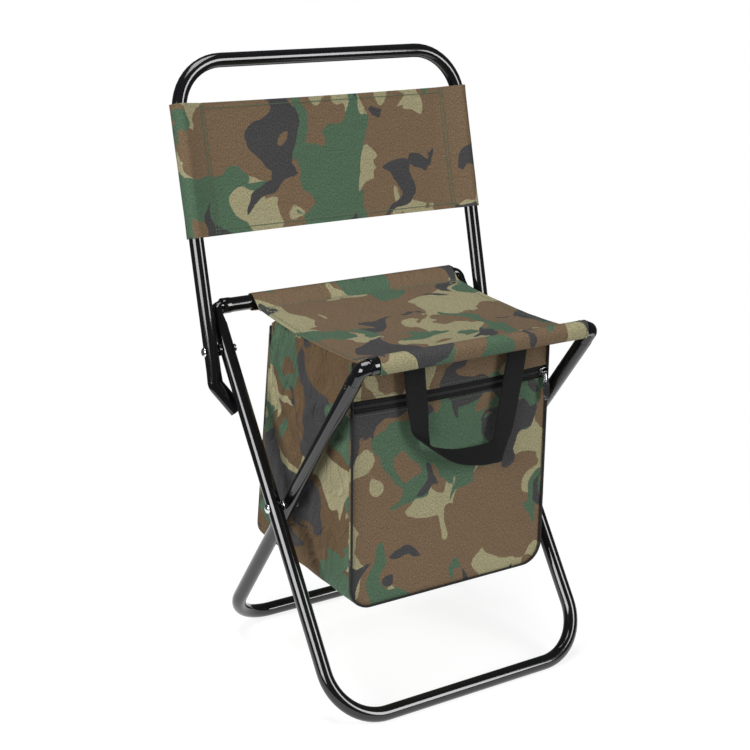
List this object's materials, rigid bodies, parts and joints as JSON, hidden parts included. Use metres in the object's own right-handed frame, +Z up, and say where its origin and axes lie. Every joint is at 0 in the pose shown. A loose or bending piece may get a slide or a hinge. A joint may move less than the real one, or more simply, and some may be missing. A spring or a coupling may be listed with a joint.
{
  "type": "folding cooler stool",
  "caption": "Folding stool with crossed tube legs, a sling seat, a backrest that folds forward, and an insulated zip bag with a webbing handle under the seat.",
  "frame": {"origin": "middle of the footprint's bounding box, on the floor", "axes": "+Z up, the sitter faces -Y, +X to the right seen from the front"},
  "size_m": [0.3818, 0.3308, 0.6549],
  "materials": {
    "black_paint": "gloss",
    "bright_steel": "polished",
    "camo_cloth": "matte",
    "silver_foam": "satin",
    "black_webbing": "matte",
    "black_piping": "matte",
    "black_zip": "satin",
    "dark_metal": "satin"
  },
  "bodies": {
    "frame": {"outer_leg_tube": "black_paint", "rear_rail_tube": "black_paint", "rear_elbow_left": "black_paint", "rear_elbow_right": "black_paint", "rear_elbow_pin_left": "black_paint", "rear_elbow_pin_right": "black_paint", "scissor_rivet_left": "bright_steel", "scissor_rivet_right": "bright_steel", "scissor_washer_left": "bright_steel", "scissor_washer_right": "bright_steel", "backrest_rivet_left": "bright_steel", "backrest_rivet_right": "bright_steel", "backrest_spacer_left": "black_paint", "backrest_spacer_right": "black_paint", "rear_seat_sleeve": "camo_cloth", "seat_panel": "camo_cloth", "bag_gusset": "camo_cloth", "bag_gusset_lining": "silver_foam", "bag_back": "camo_cloth", "bag_back_lining": "silver_foam", "back_piping": "black_piping"},
    "inner_frame": {"inner_leg_tube": "black_paint", "front_rail_tube": "black_paint", "front_elbow_left": "black_paint", "front_elbow_right": "black_paint", "front_elbow_pin_left": "black_paint", "front_elbow_pin_right": "black_paint", "front_seat_sleeve": "camo_cloth"},
    "backrest": {"backrest_tube": "black_paint", "backrest_cloth": "camo_cloth"},
    "bag_face": {"bag_front": "camo_cloth", "bag_header": "camo_cloth", "bag_front_lining": "silver_foam", "front_piping": "black_piping", "zip_tape_upper": "black_zip", "zip_tape_lower": "black_zip", "zip_chain": "black_zip", "handle_end_left": "black_webbing", "handle_end_right": "black_webbing"},
    "slider": {"zip_slider": "dark_metal"},
    "pull": {"zip_pull": "dark_metal"},
    "handle": {"handle_strap": "black_webbing"}
  },
  "joints": [
    {"name": "scissor_fold", "type": "hinge", "parent": "frame", "child": "inner_frame", "pos_m": [0, -0.01703, 0.20256], "axis": [-1, 0, 0], "range_deg": [0, 64], "deforming": ["seat_panel", "bag_gusset", "bag_gusset_lining"]},
    {"name": "backrest_fold", "type": "hinge", "parent": "frame", "child": "backrest", "pos_m": [0, 0.08346, 0.35051], "axis": [1, 0, 0], "range_deg": [0, 80]},
    {"name": "bag_front_slide", "type": "slide", "parent": "frame", "child": "bag_face", "axis": [0, 1, 0], "range_m": [0, 0.15]},
    {"name": "zip_slide", "type": "slide", "parent": "bag_face", "child": "slider", "axis": [-1, 0, 0], "range_m": [0, 0.231]},
    {"name": "zip_pull_swing", "type": "hinge", "parent": "slider", "child": "pull", "pos_m": [0.1157, -0.11208, 0.332], "axis": [-1, 0, 0], "range_deg": [-6, 150]},
    {"name": "handle_swing", "type": "hinge", "parent": "bag_face", "child": "handle", "pos_m": [0.008, -0.11828, 0.376], "axis": [-1, 0, 0], "range_deg": [-4, 80]}
  ],
  "couplings": [
    {"joint": "bag_front_slide", "follows": "scissor_fold", "m_per_rad": 0.134}
  ]
}
